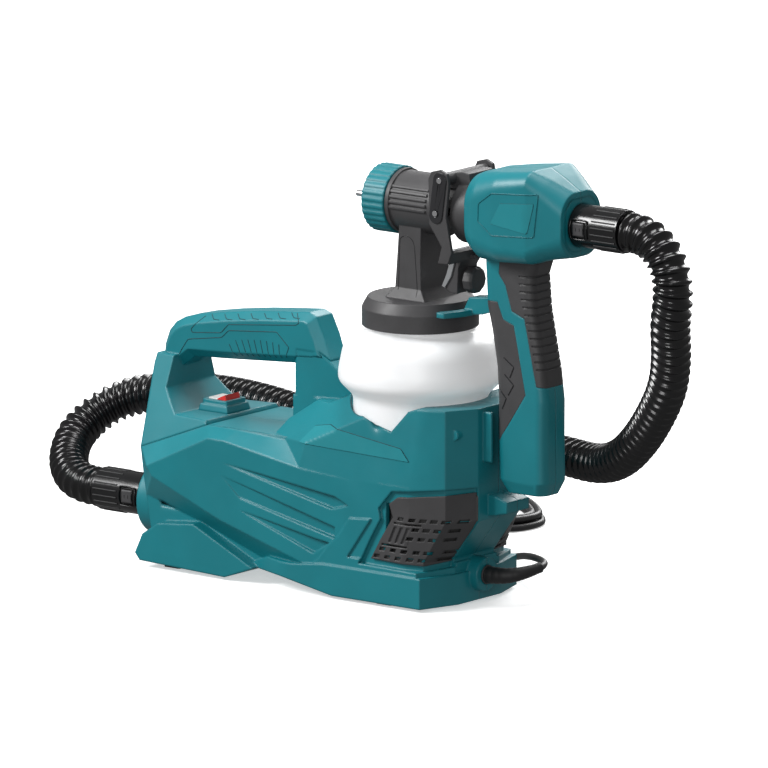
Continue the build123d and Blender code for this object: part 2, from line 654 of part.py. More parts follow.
with BuildPart() as fluid_nozzle:
    extrude(disc(across_x(-11), 2.7, (0, GUN_Z)), amount=13)
    extrude(disc(across_x(2), 7, (0, GUN_Z)), amount=48)
    extrude(disc(across_x(38), 8, (0, GUN_Z)), amount=12)
    extrude(disc(across_x(-12), 1.5 + RUNNING, (0, GUN_Z)), amount=63, mode=Mode.SUBTRACT)
save("fluid_nozzle", fluid_nozzle)

with BuildPart() as packing_nut:
    extrude(disc(across_x(50), 7.9, (0, GUN_Z)), amount=7)
    extrude(disc(across_x(49), 1.5 + RUNNING, (0, GUN_Z)), amount=9, mode=Mode.SUBTRACT)
save("packing_nut", packing_nut)

with BuildPart() as air_cap:
    with BuildSketch(Plane.XZ):
        with BuildLine():
            Polyline((37.5, 0), (37.5, 25), (30, 25), (30, 21), (13, 21), (0, 8.5), (0, 0),
                     close=True)
        make_face()
    revolve(axis=Axis.X)
    with BuildSketch(Plane.XZ):
        with BuildLine():
            Polyline((40, 0), (40, 19.4), (28, 19.4), (16, 17), (4, 7.3), (-3, 7.3), (-3, 0),
                     close=True)
        make_face()
    revolve(axis=Axis.X, mode=Mode.SUBTRACT)
with BuildPart() as air_cap_placed:
    with Locations((0, 0, GUN_Z)):
        add(air_cap.part)
save("air_cap", air_cap_placed)

RIB_COUNT = 30
with BuildPart() as air_cap_ring:
    with BuildSketch(across_x(15)):
        with Locations((0, GUN_Z)):
            Circle(28.6)
            Circle(21.5, mode=Mode.SUBTRACT)
            with PolarLocations(28.9, RIB_COUNT):
                Rectangle(1.6, 2.6, mode=Mode.SUBTRACT)
    extrude(amount=22.5)
    extrude(disc(across_x(29.5), 25.5, (0, GUN_Z)), amount=10, mode=Mode.SUBTRACT)
save("air_cap_ring", air_cap_ring)

# ---- needle -------------------------------------------------------------------------
with BuildPart() as needle:
    extrude(disc(across_x(-8), 1.5, (0, GUN_Z)), amount=112)
    extrude(disc(across_x(64), 5, (0, GUN_Z)), amount=2)
save("needle", needle)

with BuildPart() as needle_cross_pin:
    with BuildSketch(Plane.XZ):
        with Locations((NEEDLE_PIN_X, GUN_Z)):
            Circle(2.5)
    extrude(amount=34.5, both=True)
    extrude(disc(across_x(90), 1.5, (0, GUN_Z)), amount=20, mode=Mode.SUBTRACT)
save("needle_cross_pin", needle_cross_pin)

with BuildPart() as needle_spring:
    with BuildLine() as coil_line:
        Helix(pitch=3.4, height=18, radius=4.2)
    with BuildSketch(Plane(origin=coil_line.line @ 0, z_dir=coil_line.line % 0)):
        Circle(0.6)
    sweep()
with BuildPart() as needle_spring_placed:
    with Locations(Plane(origin=(66.8, 0, GUN_Z), z_dir=(1, 0, 0))):
        add(needle_spring.part)
save("needle_spring", needle_spring_placed)

# ---- trigger ------------------------------------------------------------------------
ARM_SIDE = [(89, 360), (92, 366.5), (101, 369), (108, 366), (110, 358), (107, 330), (113, 300),
            (109, 290), (99, 290), (103, 304), (90, 322)]
PAD_LINE = [(103.5, 299), (102, 288), (98.5, 276), (92, 266)]
with BuildPart() as trigger_pad:
    pad = [*PAD_LINE, (89, 267), (94, 278), (97.5, 289), (99.5, 299)]
    extrude(outline(Plane.XZ, pad), amount=14.5, both=True)
save("trigger_pad", trigger_pad)

with BuildPart() as trigger_frame:
    for side in (-1, 1):
        arm_plane = Plane.XZ.offset(side * ARM_Y - 1.5)
        extrude(outline(arm_plane, ARM_SIDE), amount=3)
        with BuildSketch(arm_plane):
            with Locations(TRIGGER_PIVOT):
                Circle(2.5)
            with Locations((NEEDLE_PIN_X, GUN_Z)):
                Circle(3.1)
        extrude(amount=3, mode=Mode.SUBTRACT)
    bridge = [(103.5, 299), (102, 290), (110, 290), (112.5, 299)]
    extrude(outline(Plane.XZ, bridge), amount=ARM_Y, both=True)
    paddle = [*PAD_LINE, (97, 262), (104, 262), (105, 284), (110, 292), (111, 298)]
    extrude(outline(Plane.XZ, paddle), amount=13, both=True)
    tab = [(108, 291.5), (116, 291.5), (116, 294.5), (108, 294.5)]
    extrude(outline(Plane.XZ, tab), amount=4, both=True)
    add(trigger_pad.part, mode=Mode.SUBTRACT)
    extrude(disc(across_x(90), 3, (0, KNOB_Z)), amount=30, mode=Mode.SUBTRACT)
save("trigger_frame", trigger_frame)

with BuildPart() as trigger_plates:
    for side in (-1, 1):
        start = Plane.XZ.offset(side * (ARM_Y + 1.5) - (0.9 if side < 0 else 0))
        with BuildSketch(start):
            with Locations(((TRIGGER_PIVOT[0] + NEEDLE_PIN_X) / 2 + 0.2, 345)):
                SlotOverall(44, 13.5, rotation=82)
            with Locations(TRIGGER_PIVOT):
                Circle(2.5, mode=Mode.SUBTRACT)
            with Locations((NEEDLE_PIN_X, GUN_Z)):
                Circle(3.1, mode=Mode.SUBTRACT)
        extrude(amount=0.9)
save("trigger_plates", trigger_plates)

with BuildPart() as trigger_pivot_pin:
    with BuildSketch(Plane.XZ):
        with Locations(TRIGGER_PIVOT):
            Circle(2.5)
    extrude(amount=34, both=True)
save("trigger_pivot_pin", trigger_pivot_pin)

with BuildPart() as flow_knob:
    with BuildSketch(across_x(108)):
        with Locations((0, KNOB_Z)):
            RegularPolygon(11.5, 10)
    extrude(amount=9)
    chamfer(flow_knob.faces().sort_by(Axis.X)[-1].edges(), length=2)
    with BuildSketch(across_x(105.5)):
        with Locations((0, KNOB_Z)):
            Circle(7.5)
            with PolarLocations(7.6, 16):
                Rectangle(1.2, 1.2, mode=Mode.SUBTRACT)
    extrude(amount=2.5)
save("flow_knob", flow_knob)

with BuildPart() as flow_screw:
    extrude(disc(across_x(99), 3 - RUNNING, (0, KNOB_Z)), amount=6.5)
    extrude(disc(across_x(103), 2, (0, KNOB_Z)), amount=2.5)
save("flow_screw", flow_screw)

# ---- gun handle ---------------------------------------------------------------------
BODY_SECTIONS = [  # (x, z low, z high, half width, corner radius)
    (126, 300, 366, 32, 24), (137, 296, 370, 37, 22), (160, 297, 373, 38, 15),
    (192, 299, 377, 36.5, 13), (206, 303, 370, 32, 16), (223, 305.5, 360, 27, 20)]
HANDLE_SECTIONS = [  # (z, x centre, half depth, half width)
    (300, 160, 28, 16.5), (286, 158, 25.5, 16), (257, 160, 25.5, 16.5), (236, 164.5, 25, 16.5),
    (207, 170, 25, 17), (180, 172.5, 25.5, 17.5), (150, 172.5, 25, 18), (112, 173.5, 24.5, 18),
    (101, 174, 20, 14)]
GRIP_REAR = [(151, 297), (150, 285), (157, 276), (164, 255), (177, 250), (190, 194), (215, 190),
             (215, 297)]
GRIP_FRONT = [(110, 261), (149, 261), (155, 247), (166, 243), (179, 186), (165, 164), (152, 145),
              (110, 145)]
GRIP_SKIN = 2.2


def gun_block(inset, body=True, top=300.0):
    """Gun handle with every face moved inwards by inset."""
    with BuildPart() as block:
        if body:
            sections = []
            for x, z_low, z_high, half_width, corner in BODY_SECTIONS:
                with BuildSketch(across_x(x)) as section:
                    with Locations((0, (z_low + z_high) / 2)):
                        RectangleRounded(2 * (half_width - inset), z_high - z_low - 2 * inset,
                                         corner - inset)
                sections.append(section.sketch)
            loft(sections, ruled=True)
        grips = []
        for z, x, depth, half_width in HANDLE_SECTIONS:
            level = min(z, top) if z > 101 else z + inset
            with BuildSketch(Plane.XY.offset(level)) as ring:
                with Locations((x, 0)):
                    RectangleRounded(2 * (depth - inset), 2 * (half_width - inset), 9 - inset)
            grips.append(ring.sketch)
        loft(grips, ruled=True)
    return block.part


with BuildPart() as gun_outside:
    add(gun_block(0))
    # round end around the hose cuff
    extrude(disc(across_x(215), 25.5, (0, GUN_Z)), amount=8.5)
    # fork under the lid: two prongs and the web that carries them
    with BuildSketch(Plane.XY.offset(244)):
        with Locations((CUP_X, 0)):
            Circle(60)
            Circle(LID_R + 2, mode=Mode.SUBTRACT)
        with Locations((150, 0)):
            Rectangle(104, 66, mode=Mode.INTERSECT)
    extrude(amount=4.5)
    web = [(106.6, 244), (106.6, 248.5), (112, 259), (138, 262), (138, 250), (126, 246)]
    extrude(outline(Plane.XZ, web), amount=7, both=True)
    extrude(disc(across_x(120), INLET_R + 0.1, (0, GUN_Z)), amount=16, mode=Mode.SUBTRACT)
with BuildPart() as gun_hollow:
    add(gun_block(5))
    extrude(disc(across_x(124), 24, (0, GUN_Z)), amount=80)
    extrude(disc(across_x(180), CUFF_R + 0.2, (0, GUN_Z)), amount=70)
with BuildPart() as handle_core:
    add(gun_block(GRIP_SKIN, body=False, top=310))


def grip_region(side_view):
    """Handle surface layer inside one side-view outline."""
    with BuildPart() as layer:
        add(gun_block(0, body=False, top=310))
        extrude(outline(Plane.XZ, side_view), amount=30, both=True, mode=Mode.INTERSECT)
        add(handle_core.part, mode=Mode.SUBTRACT)
    return layer.part


rear_layer = grip_region(GRIP_REAR)
front_layer = grip_region(GRIP_FRONT)

with BuildPart() as groove_cutter:
    for k in range(13):
        with Locations((165 + 1.6 * k, 0, 285 - 6.4 * k)):
            Box(90, 60, 1.3)
    shallow = gun_block(0.9, body=False, top=310)
    add(shallow, mode=Mode.SUBTRACT)
    rear_side = [(170, 290), (172, 270), (181, 240), (190, 205), (230, 200), (230, 290)]
    extrude(outline(Plane.XZ, rear_side), amount=40, both=True, mode=Mode.INTERSECT)

with BuildPart() as grip_rear:
    add(rear_layer)
    add(groove_cutter.part, mode=Mode.SUBTRACT)
save("grip_rear", grip_rear)

with BuildPart() as grip_front:
    add(front_layer)
save("grip_front", grip_front)

with BuildPart() as gun_screws:
    for x, z in ((150, 303), (190, 303), (172, 230), (172, 110)):
        with BuildSketch(Plane.XZ.offset(-10)):
            with Locations((x, z)):
                Circle(1.5)
        extrude(amount=20)
save("gun_screws", gun_screws)

with BuildPart() as gun_shell:
    add(gun_outside.part)
    add(gun_hollow.part, mode=Mode.SUBTRACT)
    add(rear_layer, mode=Mode.SUBTRACT)
    add(front_layer, mode=Mode.SUBTRACT)
    add(gun_screws.part, mode=Mode.SUBTRACT)
with BuildPart() as gun_shell_near:
    add(gun_shell.part)
    split(bisect_by=Plane.XZ, keep=Keep.TOP)
with BuildPart() as gun_shell_far:
    add(gun_shell.part)
    split(bisect_by=Plane.XZ, keep=Keep.BOTTOM)
save("gun_shell_near", gun_shell_near)
save("gun_shell_far", gun_shell_far)

# ---- hose ---------------------------------------------------------------------------
HOSE_ROUTE = [(-283, 0, 47), (-304, 0, 47), (-326, 9, 51.5), (-346, 29, 60), (-359, 54, 74),
              (-355, 77, 89), (-338, 93, 102), (-312, 100, 110), (-280, 103, 114), (-240, 104, 117),
              (-196, 102, 116), (-146, 98, 111), (-96, 97, 105), (-44, 103, 102),
              (12, 112, 105), (68, 116, 109), (122, 110, 108), (168, 99, 107), (206, 80, 120),
              (238, 63, 143), (266, 47, 170), (290, 32, 199), (303, 19, 230), (310, 7, 257),
              (317, 2.2, 280), (316.8, 1, 298), (312.5, 0.3, 311), (305, 0, 321),
              (295.4, 0, 328.3), (284, 0, GUN_Z), (272, 0, GUN_Z)]


def swept_tube(points, radius, bore, name):
    """Plain round tube along a route; prints its bend radii and checks its volume."""
    arcs = tube_path(points)
    with BuildPart() as tube:
        with BuildLine() as path:
            FilletPolyline(*points, radius=arcs)
        with BuildSketch(Plane(origin=path.line @ 0, z_dir=path.line % 0)):
            Circle(radius)
        sweep()
        if bore:
            with BuildSketch(Plane(origin=path.line @ 0, z_dir=path.line % 0)):
                Circle(bore)
            sweep(path=path.line, mode=Mode.SUBTRACT)
    length = sum(edge.length for edge in path.line.edges())
    print(name, "length", round(length), "radii", [round(arc) for arc in arcs])
    print(name, "volume over section times length",
          round(tube.part.volume / (pi * (radius ** 2 - bore ** 2) * length), 4))
    return tube


hose = swept_tube(HOSE_ROUTE, HOSE_R, HOSE_BORE, "hose")
save("hose", hose)


def cuff(x_start, x_end, z):
    """Hose end cuff with a square latch window on the near side."""
    with BuildPart() as sleeve:
        extrude(disc(across_x(x_start), CUFF_R, (0, z)), amount=x_end - x_start)
        extrude(disc(across_x(x_start - 1), 14, (0, z)), amount=x_end - x_start + 2,
                mode=Mode.SUBTRACT)
    return sleeve


base_cuff = cuff(-283, -194, SOCKET_Z)
gun_cuff = cuff(205, 272, GUN_Z)
LATCH_HALF = 6.0
BUTTONS = [("base", base_cuff, -244, SOCKET_Z), ("gun", gun_cuff, 234, GUN_Z)]
for end, sleeve, x, z in BUTTONS:
    with BuildPart() as cuff_part:
        add(sleeve.part)
        with Locations((x, -CUFF_R, z)):
            Box(2 * LATCH_HALF, 12, 2 * LATCH_HALF, mode=Mode.SUBTRACT)
    save(f"hose_cuff_{end}", cuff_part)
    with BuildPart() as button:
        with Locations((x, -CUFF_R + 0.6, z)):
            Box(2 * LATCH_HALF - 0.8, 3.6, 2 * LATCH_HALF - 0.8)
        chamfer(button.faces().sort_by(Axis.Y)[0].edges(), length=0.8)
    save(f"hose_button_{end}", button)

# ---- power cord ---------------------------------------------------------------------
CORD_ROUTE = [(121.2, 0, 25), (140.8, 0, 25), (155.9, 12.6, 27.5), (159.3, 32, 30),
              (149.5, 49, 31), (112, 73, 27.5), (76, 97, 17), (44, 122, 7), (12, 150, 3.2),
              (-22, 180, 3.2), (-56, 216, 3.2)]
with BuildPart() as cord_gland:
    extrude(disc(across_x(104), 8, (0, 25)), amount=23)
    extrude(disc(across_x(103), CORD_R, (0, 25)), amount=25, mode=Mode.SUBTRACT)
save("cord_gland", cord_gland)

power_cord = swept_tube(CORD_ROUTE, CORD_R, 0, "power cord")
save("power_cord", power_cord)

with BuildPart() as cord_relief:
    with BuildLine() as relief_line:
        Spline((127, 0, 25), (150.1, 7.9, 26.4), (157.9, 29.4, 29.6),
               tangents=((1, 0, 0), (-0.087, 0.99, 0.12)))
    with BuildSketch(Plane(origin=relief_line.line @ 0, z_dir=relief_line.line % 0)) as relief_start:
        Circle(7.5)
    with BuildSketch(Plane(origin=relief_line.line @ 1, z_dir=relief_line.line % 1)) as relief_end:
        Circle(4.5)
    sweep(sections=[relief_start.sketch, relief_end.sketch], multisection=True)
    add(power_cord.part, mode=Mode.SUBTRACT)
save("cord_relief", cord_relief)

COIL_CENTRE = (-98, 282)
COIL_TURN = 145.0
with BuildPart() as cord_coil:
    with BuildSketch(Plane.XY.offset(0.2)):
        with Locations(COIL_CENTRE):
            SlotOverall(160, 104, rotation=COIL_TURN)
            SlotOverall(112, 56, rotation=COIL_TURN, mode=Mode.SUBTRACT)
    extrude(amount=14)
    fillet(cord_coil.edges(), radius=5)
save("cord_coil", cord_coil)

PLUG_PLACE = (-147, 180, 10.2)
PIN_SPACING = 19.0
with BuildPart() as plug_body:
    with Locations(PLUG_PLACE):
        Box(44, 28, 20)
    fillet(plug_body.edges(), radius=4)
save("plug_body", plug_body)

with BuildPart() as plug_pins:
    with Locations(PLUG_PLACE):
        with Locations(Plane(origin=(-22, 0, 0), z_dir=(-1, 0, 0))):
            with Locations((0, PIN_SPACING / 2), (0, -PIN_SPACING / 2)):
                Cylinder(2.4, 19, align=(Align.CENTER, Align.CENTER, Align.MIN))
save("plug_pins", plug_pins)
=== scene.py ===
"""Looks of the turbine paint sprayer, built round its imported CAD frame.

Metres, +Z up, floor at Z = 0, Y = 0 is the mid-plane of base and gun. The camera stands on the
-Y side and looks at the sprayer's near flank.
"""
import json
from math import cos, pi, radians, sin, tau

import bpy
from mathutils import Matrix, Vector
from mathutils.bvhtree import BVHTree
from mathutils.geometry import delaunay_2d_cdt


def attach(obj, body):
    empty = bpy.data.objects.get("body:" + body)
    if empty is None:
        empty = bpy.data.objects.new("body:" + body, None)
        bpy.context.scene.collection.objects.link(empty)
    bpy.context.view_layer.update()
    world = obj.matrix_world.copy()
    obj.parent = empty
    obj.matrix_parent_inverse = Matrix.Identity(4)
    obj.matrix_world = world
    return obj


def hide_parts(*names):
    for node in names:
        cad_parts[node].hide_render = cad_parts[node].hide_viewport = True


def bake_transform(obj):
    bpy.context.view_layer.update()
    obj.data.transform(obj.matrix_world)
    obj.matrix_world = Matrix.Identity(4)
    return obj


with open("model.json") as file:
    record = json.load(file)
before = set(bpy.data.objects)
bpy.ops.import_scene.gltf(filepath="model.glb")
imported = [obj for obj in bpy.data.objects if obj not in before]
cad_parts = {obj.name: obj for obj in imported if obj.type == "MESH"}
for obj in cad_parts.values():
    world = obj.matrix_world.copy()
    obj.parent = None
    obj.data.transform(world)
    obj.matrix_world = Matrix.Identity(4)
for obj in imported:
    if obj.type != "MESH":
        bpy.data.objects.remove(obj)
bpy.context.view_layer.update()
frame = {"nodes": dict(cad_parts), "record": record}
nodes = frame["nodes"]
scene = bpy.context.scene

# ---- camera --------------------------------------------------------------------------
VIEW_TARGET = Vector((0.017, 0.0, 0.173))
VIEW_BACK = Vector((0.604, -0.773, 0.196))   # from the target towards the camera
VIEW_DISTANCE = 15.0
VIEW_WIDTH = 0.64                            # metres across the frame at the target


def add_camera():
    """Long lens that looks at the near flank from the right and a little above."""
    data = bpy.data.cameras.new("camera")
    data.sensor_width = 36.0
    data.lens = data.sensor_width * VIEW_DISTANCE / VIEW_WIDTH
    data.clip_end = 200.0
    camera = bpy.data.objects.new("camera", data)
    scene.collection.objects.link(camera)
    camera.location = VIEW_TARGET + VIEW_BACK.normalized() * VIEW_DISTANCE
    camera.rotation_euler = (-VIEW_BACK).to_track_quat("-Z", "Y").to_euler()
    scene.camera = camera


add_camera()

# ---- materials -----------------------------------------------------------------------
TEAL = (0.004, 0.172, 0.205)
DARK = (0.045, 0.044, 0.046)
BLACK = (0.012, 0.012, 0.013)


def finish_material(name, colour, roughness, mottle=0.06, mottle_scale=40.0, grain_scale=1400.0,
                    grain_depth=0.00004, uneven=0.06, stretch=None, edge=0.0, **sockets):
    """Principled material with a faint colour mottle, uneven gloss and a fine surface grain.

    Scales are in cycles per metre. stretch squeezes the grain along an axis, as brushing does,
    and edge is the radius that sharp edges are shaded with.
    """
    material = bpy.data.materials.new(name)
    material.use_nodes = True
    tree = material.node_tree
    shader = tree.nodes["Principled BSDF"]
    place = tree.nodes.new("ShaderNodeTexCoord")

    def noise(scale, detail, vector=None):
        texture = tree.nodes.new("ShaderNodeTexNoise")
        texture.inputs["Scale"].default_value = scale
        texture.inputs["Detail"].default_value = detail
        tree.links.new(vector or place.outputs["Object"], texture.inputs["Vector"])
        return texture.outputs["Fac"]

    blotches = noise(mottle_scale, 3.0)
    ramp = tree.nodes.new("ShaderNodeValToRGB")
    for element, factor, at in ((ramp.color_ramp.elements[0], 1 - mottle, 0.35),
                                (ramp.color_ramp.elements[1], 1 + mottle, 0.65)):
        element.position = at
        element.color = (*(min(1.0, c * factor) for c in colour), 1.0)
    tree.links.new(blotches, ramp.inputs["Fac"])
    tree.links.new(ramp.outputs["Color"], shader.inputs["Base Color"])

    gloss = tree.nodes.new("ShaderNodeMapRange")
    gloss.inputs["To Min"].default_value = max(0.02, roughness - uneven)
    gloss.inputs["To Max"].default_value = min(1.0, roughness + uneven)
    tree.links.new(noise(mottle_scale * 3, 4.0), gloss.inputs["Value"])
    tree.links.new(gloss.outputs["Result"], shader.inputs["Roughness"])

    vector = None
    if stretch:
        mapping = tree.nodes.new("ShaderNodeMapping")
        mapping.inputs["Scale"].default_value = stretch
        tree.links.new(place.outputs["Object"], mapping.inputs["Vector"])
        vector = mapping.outputs["Vector"]
    bump = tree.nodes.new("ShaderNodeBump")
    bump.inputs["Strength"].default_value = 0.6
    bump.inputs["Distance"].default_value = grain_depth
    tree.links.new(noise(grain_scale, 2.0, vector), bump.inputs["Height"])
    tree.links.new(bump.outputs["Normal"], shader.inputs["Normal"])
    if edge:
        rounding = tree.nodes.new("ShaderNodeBevel")
        rounding.samples = 6
        rounding.inputs["Radius"].default_value = edge
        tree.links.new(rounding.outputs["Normal"], bump.inputs["Normal"])
    for socket, value in sockets.items():
        shader.inputs[socket.replace("_", " ")].default_value = value
    return material


MATERIALS = {
    "teal_plastic": finish_material("teal_plastic", TEAL, 0.4, mottle=0.04, mottle_scale=25,
                                    edge=0.0026),
    # painted groove shade: a darker teal that stands for the shade in moulded grooves and at label
    # edges
    "teal_groove_shade": finish_material("teal_groove_shade", (0.002, 0.045, 0.055), 0.6),
    "teal_field": finish_material("teal_field", (0.012, 0.205, 0.238), 0.34, mottle=0.03),
    "dark_plastic": finish_material("dark_plastic", DARK, 0.5, mottle=0.08, grain_depth=0.00009,
                                    grain_scale=1100, edge=0.0014),
    "black_rubber": finish_material("black_rubber", BLACK, 0.55, mottle=0.12,
                                    grain_depth=0.00008),
    "cord_rubber": finish_material("cord_rubber", (0.02, 0.02, 0.021), 0.38, mottle=0.1),
    "hose_plastic": finish_material("hose_plastic", (0.006, 0.006, 0.0065), 0.2, mottle=0.1,
                                    uneven=0.06),
    # the trigger plates' own black, also used as painted groove shade for the grip chevrons and
    # column arch
    "plate_black_and_groove_shade": finish_material("plate_black_and_groove_shade", (0.02, 0.02, 0.022), 0.22, edge=0.001),
    # painted light: the cup's faint white emission makes it glow, though it is no lamp
    "cup_plastic": finish_material("cup_plastic", (0.86, 0.87, 0.88), 0.36, mottle=0.015,
                                   mottle_scale=18, Subsurface_Weight=0.55, Subsurface_Scale=0.012,
                                   Subsurface_Radius=(1.0, 0.95, 0.9),
                                   Emission_Color=(1.0, 1.0, 1.0, 1.0), Emission_Strength=0.14),
    "steel": finish_material("steel", (0.55, 0.55, 0.56), 0.3, Metallic=1.0),
    "chrome": finish_material("chrome", (0.8, 0.8, 0.82), 0.12, uneven=0.04, Metallic=1.0),
    "aluminium": finish_material("aluminium", (0.66, 0.66, 0.68), 0.34, Metallic=1.0,
                                 stretch=(0.1, 1.0, 1.0)),
    "brass": finish_material("brass", (0.6, 0.42, 0.16), 0.3, Metallic=1.0),
    "core_iron": finish_material("core_iron", (0.2, 0.17, 0.15), 0.5, Metallic=0.8,
                                 grain_scale=900, stretch=(4.0, 0.2, 0.2)),
    "filter_foam": finish_material("filter_foam", (0.05, 0.05, 0.05), 0.95, mottle=0.5,
                                   mottle_scale=700, grain_scale=800, grain_depth=0.0006),
    "grey_plastic": finish_material("grey_plastic", (0.36, 0.37, 0.38), 0.34, Metallic=0.55,
                                    stretch=(1.0, 1.0, 0.15)),
    "white_plastic": finish_material("white_plastic", (0.76, 0.75, 0.73), 0.25),
    "red_plastic": finish_material("red_plastic", (0.62, 0.03, 0.025), 0.22),
    # this near-black is also the painted shade patch behind the vents
    "carbon": finish_material("carbon", (0.03, 0.03, 0.03), 0.6, mottle=0.3),
}

# ---- CAD nodes that stay visible -----------------------------------------------------
WELD_REACH = 0.000005
EDGE_ANGLE = radians(22)         # edges sharper than this are rounded
SMALL_ROUND = 0.0003
EDGE_ROUND = {"housing_near": 0.0012, "housing_far": 0.0012, "gun_shell_near": 0.0012,
              "gun_shell_far": 0.0012, "carry_handle": 0.0014, "spray_head": 0.0007,
              "air_cap_ring": 0.0004}


def dress_cad_nodes():
    """Give every CAD node its slot's material and softly rounded edges."""
    for part in frame["record"]["subparts"]:
        node = nodes[part["node"]]
        node.data.materials.clear()
        look = "plate_black_and_groove_shade" if part["node"] == "trigger_plates" else part["material_slot"]
        node.data.materials.append(MATERIALS[look])
        node.data.polygons.foreach_set("use_smooth", [True] * len(node.data.polygons))
        weld = node.modifiers.new("weld", "WELD")
        weld.merge_threshold = WELD_REACH
        bevel = node.modifiers.new("edges", "BEVEL")
        bevel.width = EDGE_ROUND.get(part["node"], SMALL_ROUND)
        bevel.segments = 2
        bevel.limit_method = "ANGLE"
        bevel.angle_limit = EDGE_ANGLE
        bevel.use_clamp_overlap = True
        normals = node.modifiers.new("normals", "WEIGHTED_NORMAL")
        normals.keep_sharp = True


dress_cad_nodes()


# ---- helpers -------------------------------------------------------------------------
def new_mesh(name, vertices, faces, material, smooth=True):
    """Mesh object in the row frame."""
    mesh = bpy.data.meshes.new(name)
    mesh.from_pydata([tuple(v) for v in vertices], [], faces)
    mesh.materials.append(material)
    mesh.polygons.foreach_set("use_smooth", [smooth] * len(mesh.polygons))
    mesh.update()
    piece = bpy.data.objects.new(name, mesh)
    scene.collection.objects.link(piece)
    return piece


def new_curve(name, points, material, radius=0.0, smooth=True):
    """Open NURBS curve, or straight runs, with a round section."""
    data = bpy.data.curves.new(name, "CURVE")
    data.dimensions = "3D"
    data.bevel_depth = radius
    data.bevel_resolution = 4
    data.use_fill_caps = True
    data.resolution_u = 8
    spline = data.splines.new("NURBS" if smooth else "POLY")
    spline.points.add(len(points) - 1)
    for point, place in zip(spline.points, points):
        point.co = (*place, 1.0)
    if smooth:
        spline.order_u = 3
        spline.use_endpoint_u = True
    piece = bpy.data.objects.new(name, data)
    scene.collection.objects.link(piece)
    data.materials.append(material)
    return piece


def centre_line(points):
    """Points along the NURBS spline that has these control points."""
    guide = new_curve("guide", points, MATERIALS["carbon"])
    guide.data.resolution_u = 16
    bpy.context.view_layer.update()
    graph = bpy.context.evaluated_depsgraph_get()
    mesh = bpy.data.meshes.new_from_object(guide.evaluated_get(graph))
    line = [v.co.copy() for v in mesh.vertices]
    bpy.data.objects.remove(guide)
    return line


def resample(line, step):
    """The same line with points an even step apart."""
    lengths = [0.0]
    for a, b in zip(line, line[1:]):
        lengths.append(lengths[-1] + (b - a).length)
    count = round(lengths[-1] / step)
    even, k = [], 0
    for n in range(count + 1):
        s = lengths[-1] * n / count
        while k < len(line) - 2 and lengths[k + 1] < s:
            k += 1
        share = (s - lengths[k]) / (lengths[k + 1] - lengths[k])
        even.append(line[k].lerp(line[k + 1], share))
    return even


def ring_faces(rings, sides):
    """Four-sided faces between each ring of vertices and the next."""
    faces = []
    for k in range(rings - 1):
        for n in range(sides):
            a, b = k * sides + n, k * sides + (n + 1) % sides
            faces.append((a, b, b + sides, a + sides))
    return faces


def tube_mesh(name, line, radius_at, material, sides=28):
    """Tube along a line without twist; radius_at(distance, angle) is its radius."""
    tangents = [(line[min(k + 1, len(line) - 1)] - line[max(k - 1, 0)]).normalized()
                for k in range(len(line))]
    across = tangents[0].orthogonal().normalized()
    vertices, distance = [], 0.0
    for k, (centre, tangent) in enumerate(zip(line, tangents)):
        if k:
            distance += (centre - line[k - 1]).length
        across = (across - tangent * across.dot(tangent)).normalized()
        upward = tangent.cross(across)
        for n in range(sides):
            angle = tau * n / sides
            radius = radius_at(distance, angle)
            vertices.append(centre + across * cos(angle) * radius + upward * sin(angle) * radius)
    faces = ring_faces(len(line), sides)
    faces.append(tuple(reversed(range(sides))))
    faces.append(tuple(range((len(line) - 1) * sides, len(line) * sides)))
    return new_mesh(name, vertices, faces, material)


def soften(points, radius, steps=5):
    """Round every inner corner of a profile with a small curve."""
    soft = [Vector(points[0])]
    for before, corner, after in zip(points, points[1:], points[2:]):
        before, corner, after = Vector(before), Vector(corner), Vector(after)
        reach_in = min(radius, (corner - before).length * 0.45)
        reach_out = min(radius, (after - corner).length * 0.45)
        start = corner + (before - corner).normalized() * reach_in
        end = corner + (after - corner).normalized() * reach_out
        for n in range(steps + 1):
            t = n / steps
            soft.append(start * (1 - t) ** 2 + corner * 2 * t * (1 - t) + end * t ** 2)
    soft.append(Vector(points[-1]))
    return soft


def lathe(name, profile, centre, material, sides=96):
    """Surface of revolution about a vertical axis from (radius, height) points."""
    turns = [tau * n / sides for n in range(sides)]
    vertices = [Vector((centre[0] + r * cos(turn), centre[1] + r * sin(turn), z))
                for r, z in profile for turn in turns]
    return new_mesh(name, vertices, ring_faces(len(profile), sides), material)


surfaces = {}      # a search tree for each CAD node that something is thrown onto


def surface_point(node, start, direction):
    """Where a ray first meets a CAD node, or None."""
    if node not in surfaces:
        mesh = nodes[node].data
        surfaces[node] = BVHTree.FromPolygons([v.co for v in mesh.vertices],
                                              [tuple(p.vertices) for p in mesh.polygons])
    return surfaces[node].ray_cast(Vector(start), Vector(direction))[0]


def traced_line(name, node, outline, material, radius, body, direction=(0, 1, 0), step=0.002,
                reach=0.3):
    """Thin line that follows a CAD surface, from an outline of row-frame points thrown onto it.

    Each point is thrown along direction from reach before it.
    """
    direction = Vector(direction).normalized()
    line = resample([Vector(p) for p in outline], step)
    places = []
    for point in line:
        place = surface_point(node, point - direction * reach, direction)
        if place is not None:
            places.append(place)
    piece = new_curve(name, places, material, radius, smooth=False)
    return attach(piece, body)


